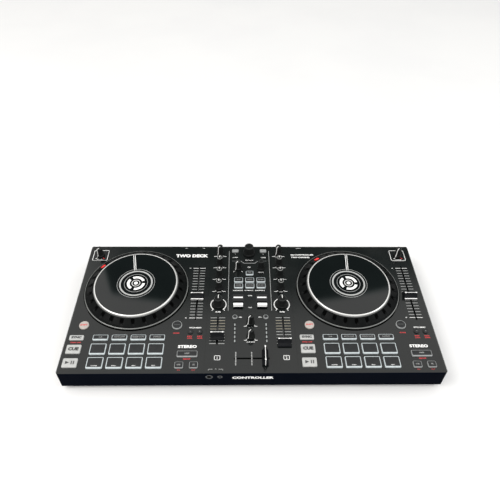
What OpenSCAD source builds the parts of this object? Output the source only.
// Two-deck music controller: a flat console with two jog wheels, a mixer between them,
// rubber pads, push keys, knobs and slide faders.
// Millimetres, +Z up. The origin lies under the middle of the body, on the surface that
// the feet rest on. +Y points to the rear, where the sockets are.

/* [Case] */
// Width of the body, left to right
body_w = 544; // [530:1:680]
// Depth of the body, front to rear
body_d = 250; // [248:1:320]
// Height of the top panel above the surface the feet rest on
panel_z = 42; // [41:0.5:54]
// Thickness of the top panel
panel_t = 3; // [2:0.1:4]
// Thickness of the side walls and the floor
wall_t = 2.5; // [1.8:0.1:3]
// Radius of the upright corners
corner_r = 6; // [3:0.5:14]
// Chamfer round the panel's edge
edge_chamfer = 1.2; // [0.4:0.1:2]
// Chamfer round the floor's edge
floor_chamfer = 3; // [1:0.5:5]
// How far the front face leans back at its foot
front_lean = 3; // [0:0.5:5]
// How far the other three sides lean in at the foot
side_lean = 1; // [0:0.5:3]
// Height of the joint between the two case halves
split_z = 16; // [12:0.5:18]
// Height of the locating lip inside that joint
lip_h = 2; // [1:0.5:3]
// Thickness of the locating lip
lip_t = 1.2; // [0.8:0.1:1.4]

/* [Jog wheels] */
// Radius of the platter's flange
jog_r = 81; // [60:0.5:82]
// Width of the flange and the grip outside the bright ring
grip_w = 15; // [13:0.5:18]
// Width of the bright ring
ring_w = 3.2; // [2:0.1:5]
// Height of the platter above the panel
jog_h = 13.4; // [9:0.1:18]
// Thickness of the flange at the rim
jog_flange_t = 1.8; // [1.2:0.1:3]
// Depth of the well that the platter turns in
well_depth = 8; // [7:0.5:9]
// Radius of the bearing spindle
spindle_r = 10; // [6:0.5:14]
// Finger notches round the grip
notch_count = 32; // [16:1:40]
// Radius of a finger notch
notch_r = 3.4; // [2:0.1:5]

/* [Keys] */
// Width of a performance pad
pad_w = 22.5; // [16:0.5:23]
// Depth of a performance pad
pad_d = 18; // [14:0.5:18.5]
// Space between neighbouring pads
pad_gap = 4.9; // [4:0.1:8]
// Depth of a mode key
mode_d = 9.2; // [7:0.1:9.5]
// Width of the sync, cue and play keys
transport_w = 20.5; // [14:0.5:21]
// Depth of the cue and play keys
transport_d = 14.5; // [10:0.5:15]
// Radius of the shift key
shift_r = 7.1; // [5:0.1:8]
// Radius of the scratch key
scratch_r = 7.5; // [5:0.1:8]
// Radius of the small round keys
round_key_r = 3.7; // [3:0.1:4]
// Width of an effect key
effect_w = 14; // [10:0.5:14.5]
// Depth of an effect key
effect_d = 10; // [7:0.5:10.2]
// Corner radius of the square keys
key_corner_r = 1.6; // [0.8:0.1:2.5]
// Height of a key above the panel
key_rise = 1.8; // [1:0.1:3]
// Travel of a pressed key
key_travel = 1.2; // [0.4:0.1:1.8]

/* [Faders] */
// Travel of the pitch faders
pitch_travel = 100; // [60:1:104]
// Travel of the channel faders and the crossfader
short_travel = 45; // [30:1:47]
// Width of a fader slot
slot_w = 2.6; // [2.4:0.1:4]
// Width of a pitch or channel cap
cap_w = 20; // [14:0.5:22]
// Length of a cap along its travel
cap_l = 16; // [10:0.5:18]
// Height of the pitch caps
pitch_cap_h = 9; // [6:0.5:14]
// Height of the channel caps
channel_cap_h = 10.5; // [6:0.5:14]
// Length of the crossfader's cap across its travel
cross_cap_w = 25; // [16:0.5:26]
// Width of the crossfader's cap along its travel
cross_cap_l = 8.5; // [7:0.5:12]
// Height of the crossfader's cap
cross_cap_h = 14; // [8:0.5:16]

/* [Knobs] */
// Radius of a small knob's base
knob_r = 6.3; // [5:0.1:7.5]
// Radius of a small knob's top
knob_top_r = 4.1; // [3.2:0.1:5]
// Height of a knob
knob_h = 16.4; // [12:0.1:20]
// Radius of a filter knob
filter_r = 9; // [7:0.1:10]
// Radius of the browse knob's base
browse_r = 10; // [8:0.1:11]
// Radius of the browse knob's top
browse_top_r = 7; // [5:0.1:8]
// Radius of every control shaft
shaft_r = 3; // [2.5:0.1:3.2]
// How far the browse knob presses in
browse_travel = 0.8; // [0.4:0.1:1]

/* [Effect paddles] */
// Width of a paddle's blade
paddle_w = 14.8; // [10:0.2:16]
// Height of the blade above the panel
paddle_h = 9.4; // [6:0.2:12]
// Thickness of the blade
paddle_t = 4.2; // [3:0.1:5]

/* [Sockets] */
// Bore radius of the 6.35 mm jacks
big_jack_r = 3.2; // [3.18:0.01:3.4]
// Bore radius of the 3.5 mm jack
small_jack_r = 1.8; // [1.76:0.01:1.9]
// Radius of a phono socket's barrel
phono_r = 4.15; // [4:0.01:4.3]
// Width of the square data socket's opening
usb_w = 8.5; // [8.4:0.1:9]
// Height of that opening
usb_h = 7.8; // [7.7:0.1:8.2]

/* [Feet and screws] */
// Radius of a rubber foot
foot_r = 10; // [7:0.5:12]
// Height of a rubber foot
foot_h = 4; // [2:0.5:5]
// Radius of a case screw's shank
screw_r = 1.3; // [1:0.1:1.5]
// Radius of a case screw's head
screw_head_r = 2.6; // [2:0.1:2.9]

/* [Layout] */
// Offset of the mixer's middle from the body's middle
mixer_x = -2.5; // [-4:0.5:4]
// Width of the mixer section
mixer_w = 131; // [129:0.5:140]
// Distance of a jog's centre from its deck's left edge
jog_inset = 90.5; // [90:0.5:96]
// Distance of a jog's centre from the front edge
jog_from_front = 154.7; // [153.7:0.1:160]
// Distance of a mixer column from the mixer's middle
column_dx = 49; // [46:0.5:52]
// Distance of the meters and cue keys from the mixer's middle
meter_dx = 23.4; // [21:0.1:26]
// Distance between neighbouring tone knobs
tone_pitch = 25.5; // [20:0.5:26]

/* [Fits] */
// Space round each key in its opening
key_gap = 0.4; // [0.3:0.05:0.6]
// Space under knobs, caps and the jog flanges
hover = 0.7; // [0.4:0.1:1]
// Running clearance round shafts
running = 0.05; // [0.02:0.01:0.1]

/* [Hidden] */
$fn = 64;

// Small overlap that makes cuts run clean through
eps = 0.01;
LEFT = 0;
RIGHT = 1;

// Heights through the case
panel_under = panel_z - panel_t;
control_h = 11;                          // from the board to the panel's underside
board_t = 1.6;
board_top = panel_under - control_h;
board_z = board_top - board_t;
cover_z = panel_z + hover;               // underside of knobs and caps
well_floor = panel_z - well_depth;
pillar_foot = split_z + 4;

// Edges of the body and its sections
front = -body_d / 2;
rear = body_d / 2;
seam_x = [mixer_x - mixer_w / 2, mixer_x + mixer_w / 2];
seam_w = 0.6;
seam_depth = 0.5;
jog_x = [-body_w / 2 + jog_inset, seam_x[RIGHT] + jog_inset];
jog_y = front + jog_from_front;
well_r = jog_r + 1.5;
ring_r = jog_r - grip_w;                 // outer radius of the bright ring

// Rows of deck controls, from the front edge
play_y = front + 18;
cue_y = front + 40.5;
sync_y = front + 60.2;
pad_y = [front + 17.8, front + 40.5];
shift_y = front + 82.4;
bend_y = front + 70.5;
loop_y = front + 32;
loop_size_y = front + 14;
pitch_y = front + 147.4;

// Columns of deck controls, from the jog's centre
transport_dx = -73.8;
pads_dx = 1.8;
shift_dx = -67.8;
scratch_dx = 69.7;
loop_dx = 88.3;
bend_dx = [90.5, 104];
pitch_dx = 96.5;
pad_pitch = pad_w + pad_gap;
mode_w = pad_w - 0.5;
sync_d = 8.2;
loop_w = 29;
loop_d = 10;
loop_size_w = 12;
loop_size_dx = [-10.3, 10.2];

// Mixer rows and columns
column_x = [mixer_x - column_dx, mixer_x + column_dx];
meter_x = [mixer_x - meter_dx, mixer_x + meter_dx];
filter_y = front + 122;
low_y = front + 156;
level_y = low_y + 3 * tone_pitch + 0.5;
channel_y = front + 73.3;
cross_x = mixer_x + 1;
cross_y = front + 25;
cue_gain_y = front + 62.5;
cue_mix_y = front + 87.5;
pfl_y = front + 97.4;
meter_y = front + 69.2;
paddle_y = front + 118;
paddle_dx = 18.5;
fx_row_y = [front + 159.4, front + 171.4];
fx_pitch = 18;
tap_y = front + 186.5;
tap_w = 12;
tap_d = 8.5;
send_y = front + 198.5;
send_dx = 19;
browse_x = mixer_x - 0.5;
browse_y = front + 232.5;
load_y = front + 237.6;
load_dx = 23.6;
load_w = 11;
load_d = 6.4;
corner_knob_x = [-body_w / 2 + 19.3, body_w / 2 - 22.3];
corner_knob_y = front + 228;

// Where the faders rest, as offsets along their travel from mid travel
pitch_rest = -9.4;
channel_rest = [-10.5, -22];
cross_rest = 19;

// Fader works
lever_t = 1.2;
lever_l = 4;
carriage_w = 7;
carriage_l = 9;
carriage_h = 4;
pot_w = 11;
pot_h = 8;
pot_wall = 1;
pot_end = 14;                            // body beyond the travel at each end
end_play = 0.8;                          // slot beyond the lever at each end
pitch_slot_end = 3.5;

// Rotary works
pot_body = 11;
pot_body_h = 7;
bushing_r = 4.5;
bushing_top = panel_under - 0.6;
shaft_foot = board_top + 2.5;
shaft_hole_r = shaft_r + 0.6;
pointer_min = -140;                      // pointer angle at the low stop, clockwise from the rear

// Key works
web_t = 1.2;
web_z = panel_under - 6;
web_margin = 2.2;
plunger_r = 2;
plunger_z = board_top + key_travel + 0.4;

// Jog works
hub_foot = well_floor + 4;
bearing_r = spindle_r + 8;
bearing_t = 3;
plate_z = panel_z + jog_h - 4;           // seat of the top plate
skirt_r = jog_r - 2.5;
skirt_t = 2.5;
web_below = 2.4;
flange_z = panel_z + hover;
flange_w = 3.5;
ring_drop = 1.8;                         // fall of the bright ring from its inner to its outer edge

// Paddle works
paddle_pivot_z = panel_under - 6;
paddle_hub_r = 3;
paddle_pin_r = 1.5;
paddle_ear_t = 2.5;
paddle_side_gap = 0.5;
paddle_swing = [10, 18];                 // towards the front, towards the rear
paddle_dish_depth = 1.2;

// Meters
segment_count = 5;
segment_w = 3;
segment_l = 5.2;
segment_pitch = 7.3;
window_gap = 0.15;

// Sockets
jack_z = board_top + control_h / 2;
jack_body_h = control_h - 0.2;
phono_x = mixer_x + 84.5;
phono_pitch = 14;
mic_x = mixer_x - 107.5;
usb_x = mixer_x - 77.5;
big_phones_x = mixer_x - 58.5;
small_phones_x = mixer_x - 43.5;
jack_wall = 1.9;
big_jack_l = 32;
small_jack_l = 16;
usb_l = 16;
usb_depth = 10;
usb_shell = 1.5;
phono_l = 10;

// Fasteners and feet
pillar_r = 3.2;
boss_r = 4;
screw_l = 14;
screw_head_h = 2;
screw_seat = split_z - 1;
standoff_r = 2.5;
foot_spigot_r = 3;
foot_at = [for (x = [-body_w / 2 + 18, 0, body_w / 2 - 18], y = [front + 21, rear - 21]) [x, y]];

// Screws of one deck, at x from the jog's centre
deck_screws = [[-57.5, front + 28], [63.5, front + 28], [-48.5, rear - 11], [46.5, rear - 11]];
screw_at = concat(
    [for (i = [LEFT, RIGHT], s = deck_screws) [jog_x[i] + s[0], s[1]]],
    [for (x = [-body_w / 2 + 7.5, body_w / 2 - 7.5], y = [front + 105, front + 205]) [x, y]],
    [for (i = [LEFT, RIGHT], y = [front + 111, front + 225]) [seam_x[i] + (i == LEFT ? 2 : -3), y]],
    [for (x = [mixer_x - 35, mixer_x + 35]) [x, front + 12]]
);
standoff_at = concat(
    [for (i = [LEFT, RIGHT], dx = [-60, 60], y = [front + 50, rear - 20]) [jog_x[i] + dx, y]],
    [for (dx = [-30, 30], y = [front + 50, front + 150]) [mixer_x + dx, y]]
);

// Keys as [x, y, width, depth, corner radius]
function square_key(x, y, w, d) = [x, y, w, d, key_corner_r];
function round_key(x, y, r) = [x, y, 2 * r, 2 * r, r - eps];
function play_key(i) = square_key(jog_x[i] + transport_dx, play_y, transport_w, transport_d);
function cue_key(i) = square_key(jog_x[i] + transport_dx, cue_y, transport_w, transport_d);
function sync_key(i) = square_key(jog_x[i] + transport_dx, sync_y, transport_w, sync_d);
function shift_key(i) = round_key(jog_x[i] + shift_dx, shift_y, shift_r);
function scratch_key(i) = round_key(jog_x[i] + scratch_dx, shift_y, scratch_r);
function pad_x(i, col) = jog_x[i] + pads_dx + (col - 1.5) * pad_pitch;
function pad_keys(i) = [for (y = pad_y, col = [0:3]) square_key(pad_x(i, col), y, pad_w, pad_d)];
function mode_keys(i) = [for (col = [0:3]) square_key(pad_x(i, col), sync_y, mode_w, mode_d)];
function loop_keys(i) = concat(
    [square_key(jog_x[i] + loop_dx, loop_y, loop_w, loop_d)],
    [for (dx = loop_size_dx) square_key(jog_x[i] + loop_dx + dx, loop_size_y, loop_size_w, loop_d)]
);
function bend_keys(i) = [for (dx = bend_dx) round_key(jog_x[i] + dx, bend_y, round_key_r)];
function fx_grid() = [for (y = fx_row_y, c = [-1:1]) square_key(mixer_x + c * fx_pitch, y, effect_w, effect_d)];
function tap_key() = [square_key(mixer_x, tap_y, tap_w, tap_d)];
function load_keys() = [for (s = [-1, 1]) square_key(mixer_x + s * load_dx, load_y, load_w, load_d)];
function pfl_keys() = [for (x = meter_x) round_key(x, pfl_y, round_key_r)];
function all_keys() = concat(
    [for (i = [LEFT, RIGHT], k = concat([play_key(i), cue_key(i), sync_key(i), shift_key(i), scratch_key(i)],
                                        pad_keys(i), mode_keys(i), loop_keys(i), bend_keys(i))) k],
    fx_grid(), tap_key(), load_keys(), pfl_keys()
);

// Knobs as [x, y]
function tone_y(step) = low_y + step * tone_pitch;
knob_at = concat(
    [for (x = column_x, y = [level_y, tone_y(2), tone_y(1), tone_y(0), filter_y]) [x, y]],
    [for (s = [-1, 1]) [mixer_x + s * send_dx, send_y]],
    [[mixer_x, cue_mix_y], [mixer_x, cue_gain_y]],
    [for (x = corner_knob_x) [x, corner_knob_y]]
);

// Faders as [x, y of mid travel, travel, slot beyond the lever, turned to run along X]
pitch_faders = [for (x = jog_x) [x + pitch_dx, pitch_y, pitch_travel, pitch_slot_end, 0]];
channel_faders = [for (x = column_x) [x, channel_y, short_travel, end_play, 0]];
cross_faders = [[cross_x, cross_y, short_travel, end_play, -90]];
all_faders = concat(pitch_faders, channel_faders, cross_faders);

// ---- shapes used more than once ----

module round_rect(w, d, r) {
    square([w - 2 * r, d], center = true);
    square([w, d - 2 * r], center = true);
    for (x = [-1, 1], y = [-1, 1]) translate([x * (w / 2 - r), y * (d / 2 - r)]) circle(r);
}

module block(w, d, z0, z1) {
    translate([-w / 2, -d / 2, z0]) cube([w, d, z1 - z0]);
}

// Outline of a slice through the case, as half width against height
function outline(half, lean_lo, lean_hi, inset, z0, z1, top) = [
    [-half + lean_lo + inset + floor_chamfer, z0],
    [-half + lean_lo + inset, z0 + floor_chamfer],
    [-half + inset, z1 - top],
    [-half + inset + top, z1],
    [half - inset - top, z1],
    [half - inset, z1 - top],
    [half - lean_hi - inset, z0 + floor_chamfer],
    [half - lean_hi - inset - floor_chamfer, z0]
];

module case_block(inset, z0, z1, top) {
    intersection() {
        translate([0, 0, z0]) linear_extrude(z1 - z0)
            round_rect(body_w - 2 * inset, body_d - 2 * inset, corner_r - inset + eps);
        rotate([90, 0, 90]) linear_extrude(body_w, center = true)
            polygon(outline(body_d / 2, front_lean, side_lean, inset, z0, z1, top));
        rotate([90, 0, 0]) linear_extrude(body_d, center = true)
            polygon(outline(body_w / 2, side_lean, side_lean, inset, z0, z1, top));
    }
}

module case_shell() {
    difference() {
        case_block(0, foot_h, panel_z, edge_chamfer);
        case_block(wall_t, foot_h + wall_t, panel_under, eps);
    }
}

module slab(z0, z1) {
    block(body_w + 2, body_d + 2, z0, z1);
}

module key_opening(k) {
    translate([k[0], k[1], panel_under - eps]) linear_extrude(panel_t + 2 * eps)
        round_rect(k[2] + 2 * key_gap, k[3] + 2 * key_gap, k[4] + key_gap);
}

// One key from its web up to a slightly smaller crown, with the plunger below
module key_body(k) {
    crown = 0.5;
    translate([k[0], k[1], web_z]) linear_extrude(panel_z + key_rise - crown - web_z) round_rect(k[2], k[3], k[4]);
    translate([k[0], k[1], panel_z]) linear_extrude(key_rise)
        round_rect(k[2] - 2 * crown, k[3] - 2 * crown, k[4] - crown);
    translate([k[0], k[1], plunger_z]) cylinder(r = plunger_r, h = web_z - plunger_z + eps);
}

// Flexible sheet that joins the keys of one mat
module key_sheet(keys) {
    x0 = min([for (k = keys) k[0] - k[2] / 2]) - web_margin;
    x1 = max([for (k = keys) k[0] + k[2] / 2]) + web_margin;
    y0 = min([for (k = keys) k[1] - k[3] / 2]) - web_margin;
    y1 = max([for (k = keys) k[1] + k[3] / 2]) + web_margin;
    translate([x0, y0, web_z]) cube([x1 - x0, y1 - y0, web_t]);
}

module key_mat(keys) {
    for (k = keys) key_body(k);
    key_sheet(keys);
}

// ---- case ----

module jog_well(i) {
    translate([jog_x[i], jog_y, well_floor - wall_t])
        cylinder(r = well_r + wall_t, h = panel_under - well_floor + wall_t + eps);
}

module jog_well_cut(i) {
    translate([jog_x[i], jog_y, 0]) {
        translate([0, 0, well_floor]) cylinder(r = well_r, h = well_depth + eps);
        translate([0, 0, well_floor - wall_t - eps]) cylinder(r = spindle_r / 2, h = wall_t + 2 * eps);
    }
}

module fader_slot(f) {
    length = f[2] + lever_l + 2 * f[3];
    translate([f[0], f[1], 0]) rotate(f[4]) block(slot_w, length, panel_under - eps, panel_z + eps);
}

module paddle_ears(s) {
    reach = paddle_w / 2 + paddle_side_gap;
    for (side = [-1, 1])
        translate([mixer_x + s * paddle_dx + side * (reach + paddle_ear_t / 2), paddle_y, 0]) difference() {
            block(paddle_ear_t, 8, paddle_pivot_z - 4, panel_under + eps);
            translate([0, 0, paddle_pivot_z]) rotate([0, 90, 0])
                cylinder(r = paddle_pin_r + running, h = paddle_ear_t + 2 * eps, center = true);
        }
}

module paddle_slot_cut(s) {
    rise = panel_z - paddle_pivot_z;
    ahead = paddle_t / 2 + rise * tan(paddle_swing[0]) + 1;
    behind = paddle_t / 2 + rise * tan(paddle_swing[1]) + 1;
    width = paddle_w + 2 * paddle_side_gap;
    translate([mixer_x + s * paddle_dx, paddle_y, 0]) {
        translate([-width / 2, -ahead, panel_under - eps]) cube([width, ahead + behind, panel_t + 2 * eps]);
        translate([0, 4.5, panel_z - paddle_dish_depth]) linear_extrude(paddle_dish_depth + eps)
            round_rect(width, 22, 2);
    }
}

module segment_cuts() {
    for (x = meter_x, n = [0:segment_count - 1])
        translate([x, meter_y + (n - (segment_count - 1) / 2) * segment_pitch, 0])
            block(segment_w, segment_l, panel_under - eps, panel_z + eps);
}

module front_socket_cuts() {
    for (s = [[big_phones_x, big_jack_r], [small_phones_x, small_jack_r]])
        translate([s[0], front + wall_t + front_lean + eps, jack_z]) rotate([90, 0, 0])
            cylinder(r = s[1] + jack_wall + 0.2, h = wall_t + front_lean + 1);
}

module rear_socket_cuts() {
    translate([mic_x, rear + eps, jack_z]) rotate([90, 0, 0])
        cylinder(r = big_jack_r + jack_wall + 0.2, h = wall_t + side_lean + 1);
    translate([usb_x, rear, 0]) block(usb_w + 2 * usb_shell + 0.6, 8, board_top, board_top + jack_body_h + 0.1);
    translate([phono_x, rear, 0])
        block(phono_pitch + 2 * phono_r + 10, 8, board_top + 0.2, board_top + jack_body_h + 0.1);
}

module top_shell() {
    color("#2b2d2f") difference() {
        union() {
            intersection() {
                case_shell();
                slab(split_z, panel_z + 1);
            }
            for (i = [LEFT, RIGHT]) jog_well(i);
            for (p = screw_at) translate([p[0], p[1], pillar_foot])
                cylinder(r = pillar_r, h = panel_under - pillar_foot + eps);
            for (s = [-1, 1]) paddle_ears(s);
        }
        for (i = [LEFT, RIGHT]) jog_well_cut(i);
        for (k = all_keys()) key_opening(k);
        for (p = knob_at) translate([p[0], p[1], panel_under - eps]) cylinder(r = shaft_hole_r, h = panel_t + 1);
        translate([browse_x, browse_y, panel_under - eps]) cylinder(r = shaft_hole_r, h = panel_t + 1);
        for (f = all_faders) fader_slot(f);
        for (s = [-1, 1]) paddle_slot_cut(s);
        segment_cuts();
        front_socket_cuts();
        rear_socket_cuts();
        for (p = screw_at) translate([p[0], p[1], pillar_foot - eps])
            cylinder(r = screw_r + running, h = screw_l - 2);
        for (x = seam_x) translate([x, 0, 0]) block(seam_w, body_d + 2, panel_z - seam_depth, panel_z + 1);
    }
}

module bottom_shell() {
    color("#1c1d1f") difference() {
        union() {
            intersection() {
                case_shell();
                slab(foot_h - 1, split_z);
            }
            intersection() {
                difference() {
                    case_block(wall_t + 0.2, foot_h + wall_t, panel_under, eps);
                    case_block(wall_t + 0.2 + lip_t, foot_h, panel_under + 1, eps);
                }
                slab(split_z - 3, split_z + lip_h);
            }
            for (p = screw_at) translate([p[0], p[1], foot_h + wall_t - eps])
                cylinder(r = boss_r, h = pillar_foot - foot_h - wall_t + eps);
            for (p = standoff_at) translate([p[0], p[1], foot_h + wall_t - eps])
                cylinder(r = standoff_r, h = board_z - foot_h - wall_t + eps);
        }
        for (p = screw_at) translate([p[0], p[1], 0]) {
            cylinder(r = screw_r + 0.2, h = pillar_foot + eps);
            cylinder(r = screw_head_r + 0.4, h = screw_seat);
        }
        for (p = foot_at) translate([p[0], p[1], foot_h - eps])
            cylinder(r = foot_spigot_r + running, h = wall_t + 2 * eps);
    }
}

// ---- fixed inner pieces ----

// Three boards, one under each section, with clear holes for the pillars
module circuit_boards() {
    edge = wall_t + 3;
    spans = [[-body_w / 2 + edge, seam_x[LEFT] - 1], [seam_x[LEFT], seam_x[RIGHT]],
             [seam_x[RIGHT] + 1, body_w / 2 - edge]];
    color("#2f6b3c") difference() {
        for (s = spans) translate([s[0], front + edge + 1, board_z])
            cube([s[1] - s[0], body_d - 2 * edge - 2, board_t]);
        for (p = screw_at) translate([p[0], p[1], board_z - eps])
            cylinder(r = pillar_r + 0.8, h = board_t + 2 * eps);
    }
}

module slide_pot(f) {
    inside = f[2] + carriage_l + 2;
    translate([f[0], f[1], 0]) rotate(f[4]) difference() {
        block(pot_w, f[2] + 2 * pot_end, board_top, board_top + pot_h);
        block(pot_w - 2 * pot_wall, inside, board_top + pot_wall, board_top + pot_h - pot_wall);
        block(lever_t + 1.2, inside, board_top + pot_wall, board_top + pot_h + eps);
    }
}

module slide_pots() {
    color("silver") for (f = all_faders) slide_pot(f);
}

module rotary_pot(p, body, bore_foot) {
    translate([p[0], p[1], 0]) difference() {
        union() {
            block(body, body, board_top, board_top + pot_body_h);
            translate([0, 0, board_top]) cylinder(r = bushing_r, h = bushing_top - board_top);
        }
        translate([0, 0, bore_foot]) cylinder(r = shaft_r + running, h = bushing_top - bore_foot + eps);
    }
}

module rotary_pots() {
    color("gray") {
        for (p = knob_at) rotary_pot(p, pot_body, shaft_foot - 0.5);
        rotary_pot([browse_x, browse_y], pot_body + 1, shaft_foot - browse_travel - 0.5);
    }
}

module jog_bearings() {
    color("silver") for (x = jog_x) translate([x, jog_y, well_floor]) {
        cylinder(r = bearing_r, h = bearing_t);
        cylinder(r = spindle_r, h = plate_z - 0.4 - well_floor);
        translate([0, 0, -wall_t]) cylinder(r = spindle_r / 2 - running, h = wall_t + eps);
    }
}

module meter_windows() {
    color("#9fb7a6") for (x = meter_x) translate([x, meter_y, 0]) {
        block(segment_w + 2.4, segment_count * segment_pitch, panel_under - 1.4, panel_under);
        for (n = [0:segment_count - 1])
            translate([0, (n - (segment_count - 1) / 2) * segment_pitch, 0])
                block(segment_w - 2 * window_gap, segment_l - 2 * window_gap, panel_under - eps, panel_z);
    }
}

// ---- sockets ----

// Jack whose mouth faces away from the body: nose, body and bore along -Y
module jack(bore_r, shell_w, depth, nose) {
    difference() {
        union() {
            translate([-shell_w / 2, 0, -control_h / 2]) cube([shell_w, depth, jack_body_h]);
            translate([0, eps, 0]) rotate([90, 0, 0]) cylinder(r = bore_r + jack_wall, h = nose);
        }
        translate([0, depth - 3, 0]) rotate([90, 0, 0]) cylinder(r = bore_r, h = depth + nose);
    }
}

module headphone_sockets() {
    back = wall_t + front_lean * (panel_z - jack_z) / (panel_z - foot_h) + 0.3;
    color("#141414") {
        translate([big_phones_x, front + back, jack_z]) jack(big_jack_r, 13, big_jack_l, back - 0.9);
        translate([small_phones_x, front + back, jack_z]) jack(small_jack_r, 9, small_jack_l, back - 0.9);
    }
}

module phono_pair() {
    block_w = phono_pitch + 2 * phono_r + 9;
    translate([phono_x, rear - wall_t - 9, 0]) difference() {
        union() {
            translate([-block_w / 2, -12, board_top]) cube([block_w, 12, jack_body_h]);
            for (s = [-1, 1]) translate([s * phono_pitch / 2, -eps, jack_z]) rotate([-90, 0, 0])
                cylinder(r = phono_r, h = phono_l);
        }
        for (s = [-1, 1]) translate([s * phono_pitch / 2, -6, jack_z]) rotate([-90, 0, 0])
            cylinder(r = 1.65, h = 6 + phono_l + 1);
    }
}

module rear_sockets() {
    back = wall_t + side_lean * (panel_z - jack_z) / (panel_z - foot_h) + 0.3;
    color("#141414") {
        translate([mic_x, rear - back, jack_z]) rotate(180) jack(big_jack_r, 13, big_jack_l, back - 0.6);
        phono_pair();
    }
}

module usb_socket() {
    width = usb_w + 2 * usb_shell;
    mouth = rear - 0.8;
    color("silver") difference() {
        translate([usb_x - width / 2, mouth - usb_l, board_top]) cube([width, usb_l, jack_body_h]);
        translate([usb_x - usb_w / 2, mouth - usb_depth, jack_z - usb_h / 2]) cube([usb_w, usb_depth + eps, usb_h]);
    }
}

// ---- feet and screws ----

module rubber_feet() {
    color("#101010") for (p = foot_at) translate([p[0], p[1], 0]) {
        translate([0, 0, 0.8]) cylinder(r = foot_r, h = foot_h - 0.8);
        cylinder(r1 = foot_r - 0.8, r2 = foot_r, h = 0.8 + eps);
        cylinder(r = foot_spigot_r, h = foot_h + wall_t);
    }
}

module case_screws() {
    color("silver") for (p = screw_at) translate([p[0], p[1], screw_seat]) {
        translate([0, 0, -screw_head_h]) cylinder(r = screw_head_r, h = screw_head_h);
        cylinder(r = screw_r, h = screw_l);
    }
}

// ---- jog wheels ----

// Half section of the platter: flange, grip, bright ring, seat, web, hub and skirt
function platter_section() = [
    [jog_r, flange_z],
    [jog_r, flange_z + jog_flange_t],
    [jog_r - 1, flange_z + jog_flange_t + 0.6],
    [jog_r - flange_w, flange_z + jog_flange_t + 0.9],
    [ring_r + 2.5, panel_z + jog_h - 3.4],
    [ring_r, panel_z + jog_h - ring_drop],
    [ring_r - ring_w, panel_z + jog_h],
    [ring_r - ring_w, plate_z],
    [spindle_r + running, plate_z],
    [spindle_r + running, hub_foot],
    [spindle_r + 3, hub_foot],
    [spindle_r + 3, plate_z - web_below],
    [ring_r - ring_w, plate_z - web_below],
    [skirt_r - skirt_t, flange_z + 0.6],
    [skirt_r - skirt_t, well_floor + 2],
    [skirt_r, well_floor + 2],
    [skirt_r, flange_z]
];

module jog_platter(i) {
    color("#1a1b1d") translate([jog_x[i], jog_y, 0]) difference() {
        rotate_extrude() polygon(platter_section());
        for (n = [0:notch_count - 1]) rotate(n * 360 / notch_count)
            translate([jog_r - flange_w - 2, 0, flange_z + jog_flange_t + 1.4]) cylinder(r = notch_r, h = jog_h);
    }
}

module jog_top_plate(i) {
    plate_r = ring_r - ring_w - 0.3;
    top = panel_z + jog_h - 0.4;
    color("#0c0c0e") translate([jog_x[i], jog_y, 0]) rotate_extrude() polygon([
        [0, plate_z], [plate_r, plate_z], [plate_r, top - 0.5], [plate_r - 0.5, top], [0, top]
    ]);
}

// ---- faders ----

// Cap section along its travel: a ridge between two hollow finger slopes
module cap_section(length, height) {
    ridge = 2.2;
    lip = 1.8;
    run = (length - ridge) / 2;
    climb = height - lip;
    hollow_r = (run * run + climb * climb) / (2 * min(run, climb)) * 1.25;
    difference() {
        polygon([[-length / 2, 0], [length / 2, 0], [length / 2, lip], [ridge / 2, height],
                 [-ridge / 2, height], [-length / 2, lip]]);
        for (s = [-1, 1]) {
            mid = [s * (length / 2 + ridge / 2) / 2, (lip + height) / 2];
            half = sqrt(run * run + climb * climb) / 2;
            away = sqrt(hollow_r * hollow_r - half * half);
            translate([mid[0] + s * climb / (2 * half) * away, mid[1] + run / (2 * half) * away]) circle(hollow_r);
        }
    }
}

// Fader cap on its lever and carriage, at an offset along the travel
module fader(f, offset, width, length, height) {
    lever_foot = board_top + pot_wall + 0.5;
    translate([f[0], f[1], 0]) rotate(f[4]) translate([0, offset, 0]) {
        translate([0, 0, cover_z]) rotate([90, 0, 90]) linear_extrude(width, center = true)
            cap_section(length, height);
        block(lever_t, lever_l, lever_foot, cover_z + 2);
        block(carriage_w, carriage_l, lever_foot, lever_foot + carriage_h);
    }
}

module pitch_fader(i) {
    color("#161718") fader(pitch_faders[i], pitch_rest, cap_w, cap_l, pitch_cap_h);
}

module channel_fader(i) {
    color("#161718") fader(channel_faders[i], channel_rest[i], cap_w, cap_l, channel_cap_h);
}

module crossfader() {
    color("#161718") fader(cross_faders[0], cross_rest, cross_cap_w, cross_cap_l, cross_cap_h);
}

// ---- knobs ----

// Turned cap with a skirt below and a pointer rib, on its shaft
module knob(p, r0, r1, height, pointer) {
    rib = 0.9;
    translate([p[0], p[1], 0]) {
        translate([0, 0, cover_z]) rotate_extrude() polygon([
            [0, 0], [r0, 0], [r0, 2], [r0 - 0.9, 3], [r1 + 0.4, height - 0.8], [r1 - 0.4, height], [0, height]
        ]);
        rotate(-pointer) translate([-rib / 2, 0, cover_z + height - 2]) cube([rib, r1 + 0.3, 2.2]);
        translate([0, 0, shaft_foot]) cylinder(r = shaft_r, h = cover_z - shaft_foot + eps);
    }
}

module small_knob(x, y, pointer) {
    color("#1b1c1e") knob([x, y], knob_r, knob_top_r, knob_h, pointer);
}

module filter_knob(i) {
    color("#1b1c1e") knob([column_x[i], filter_y], filter_r, filter_r - 1.6, knob_h - 1, 0);
}

module browse_shaft() {
    color("silver") translate([browse_x, browse_y, shaft_foot])
        cylinder(r = shaft_r, h = cover_z + knob_h - 3 - shaft_foot);
}

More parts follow.
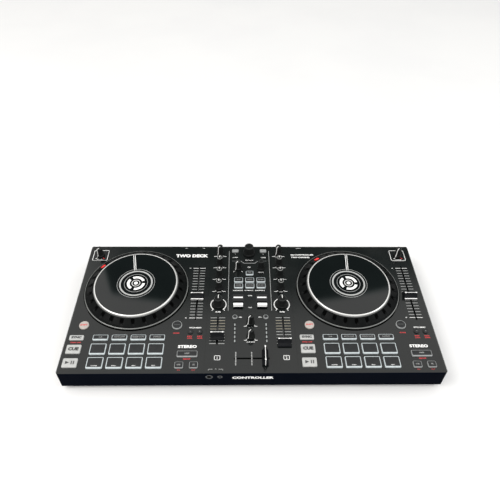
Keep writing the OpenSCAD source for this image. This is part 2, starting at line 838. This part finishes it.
module browse_knob() {
    foot = cover_z + browse_travel;
    top = cover_z + knob_h;
    color("#1b1c1e") translate([browse_x, browse_y, 0]) difference() {
        rotate_extrude() polygon([
            [0, foot], [browse_r, foot], [browse_r, foot + 2], [browse_top_r + 0.3, top - 1],
            [browse_top_r - 0.8, top], [0, top]
        ]);
        translate([0, 0, foot - eps]) cylinder(r = shaft_r + running, h = top - 2.9 - foot);
    }
}

// ---- effect paddles ----

module fx_paddle(s) {
    top = panel_z + paddle_h;
    color("white") translate([mixer_x + s * paddle_dx, paddle_y, 0]) {
        rotate([90, 0, 90]) linear_extrude(paddle_w, center = true) polygon([
            [-paddle_t / 2, paddle_pivot_z], [paddle_t / 2, paddle_pivot_z],
            [paddle_t / 2, panel_z + 2], [paddle_t / 2 - 0.8, top - 0.6], [paddle_t / 2 - 1.4, top],
            [-paddle_t / 2 - 0.2, top], [-paddle_t / 2 - 0.6, top - 0.6], [-paddle_t / 2, panel_z + 2]
        ]);
        translate([0, 0, paddle_pivot_z]) rotate([0, 90, 0]) {
            cylinder(r = paddle_hub_r, h = paddle_w, center = true);
            cylinder(r = paddle_pin_r, h = paddle_w + 2 * (paddle_side_gap + paddle_ear_t), center = true);
        }
    }
}

// ---- keys ----

module white_key(k) {
    color("whitesmoke") key_mat([k]);
}

module dark_keys(keys) {
    color("#232426") key_mat(keys);
}

// Keys that stand apart on mats of their own and are worked by one switch each
module dark_pair(keys) {
    for (k = keys) dark_keys([k]);
}

// Narrow strip of sheet that joins two groups of keys, from y0 to y1
module key_neck(x, y0, y1) {
    neck_w = 8;
    translate([x - neck_w / 2, y0, web_z]) cube([neck_w, y1 - y0, web_t]);
}

module loop_mat(i) {
    color("#232426") {
        key_mat(loop_keys(i));
        key_mat(bend_keys(i));
        key_neck(jog_x[i] + pitch_dx + 2, loop_y, bend_y);
    }
}

module fx_mat() {
    color("#232426") {
        key_mat(fx_grid());
        key_mat(tap_key());
        key_neck(mixer_x, fx_row_y[1], tap_y);
    }
}

top_shell();
bottom_shell();
circuit_boards();
slide_pots();
rotary_pots();
jog_bearings();
usb_socket();
rear_sockets();
headphone_sockets();
rubber_feet();
case_screws();
meter_windows();
jog_platter(LEFT);  // jog_platter_a
jog_top_plate(LEFT);  // jog_top_plate_a
jog_platter(RIGHT);  // jog_platter_b
jog_top_plate(RIGHT);  // jog_top_plate_b
pitch_fader(LEFT);  // pitch_fader_a
pitch_fader(RIGHT);  // pitch_fader_b
channel_fader(LEFT);  // channel_fader_1
channel_fader(RIGHT);  // channel_fader_2
crossfader();
small_knob(column_x[LEFT], level_y, pointer_min);  // level_knob_1
small_knob(column_x[LEFT], tone_y(2), 0);  // high_knob_1
small_knob(column_x[LEFT], tone_y(1), 0);  // mid_knob_1
small_knob(column_x[LEFT], tone_y(0), 0);  // low_knob_1
filter_knob(LEFT);  // filter_knob_1
small_knob(column_x[RIGHT], level_y, pointer_min);  // level_knob_2
small_knob(column_x[RIGHT], tone_y(2), 0);  // high_knob_2
small_knob(column_x[RIGHT], tone_y(1), 0);  // mid_knob_2
small_knob(column_x[RIGHT], tone_y(0), 0);  // low_knob_2
filter_knob(RIGHT);  // filter_knob_2
small_knob(mixer_x - send_dx, send_y, pointer_min);  // wet_knob
small_knob(mixer_x + send_dx, send_y, 0);  // beats_knob
small_knob(mixer_x, cue_mix_y, pointer_min);  // cue_mix_knob
small_knob(mixer_x, cue_gain_y, pointer_min);  // cue_gain_knob
small_knob(corner_knob_x[LEFT], corner_knob_y, pointer_min);  // mic_gain_knob
small_knob(corner_knob_x[RIGHT], corner_knob_y, pointer_min);  // master_gain_knob
browse_shaft();
browse_knob();
fx_paddle(-1);  // fx_paddle_1
fx_paddle(1);  // fx_paddle_2
white_key(play_key(LEFT));  // play_key_a
white_key(cue_key(LEFT));  // cue_key_a
white_key(sync_key(LEFT));  // sync_key_a
white_key(shift_key(LEFT));  // shift_key_a
dark_keys([scratch_key(LEFT)]);  // scratch_key_a
dark_keys(pad_keys(LEFT));  // pad_keys_a
dark_keys(mode_keys(LEFT));  // mode_keys_a
loop_mat(LEFT);  // loop_keys_a
white_key(play_key(RIGHT));  // play_key_b
white_key(cue_key(RIGHT));  // cue_key_b
white_key(sync_key(RIGHT));  // sync_key_b
white_key(shift_key(RIGHT));  // shift_key_b
dark_keys([scratch_key(RIGHT)]);  // scratch_key_b
dark_keys(pad_keys(RIGHT));  // pad_keys_b
dark_keys(mode_keys(RIGHT));  // mode_keys_b
loop_mat(RIGHT);  // loop_keys_b
fx_mat();  // fx_keys
dark_pair(load_keys());
dark_pair(pfl_keys());
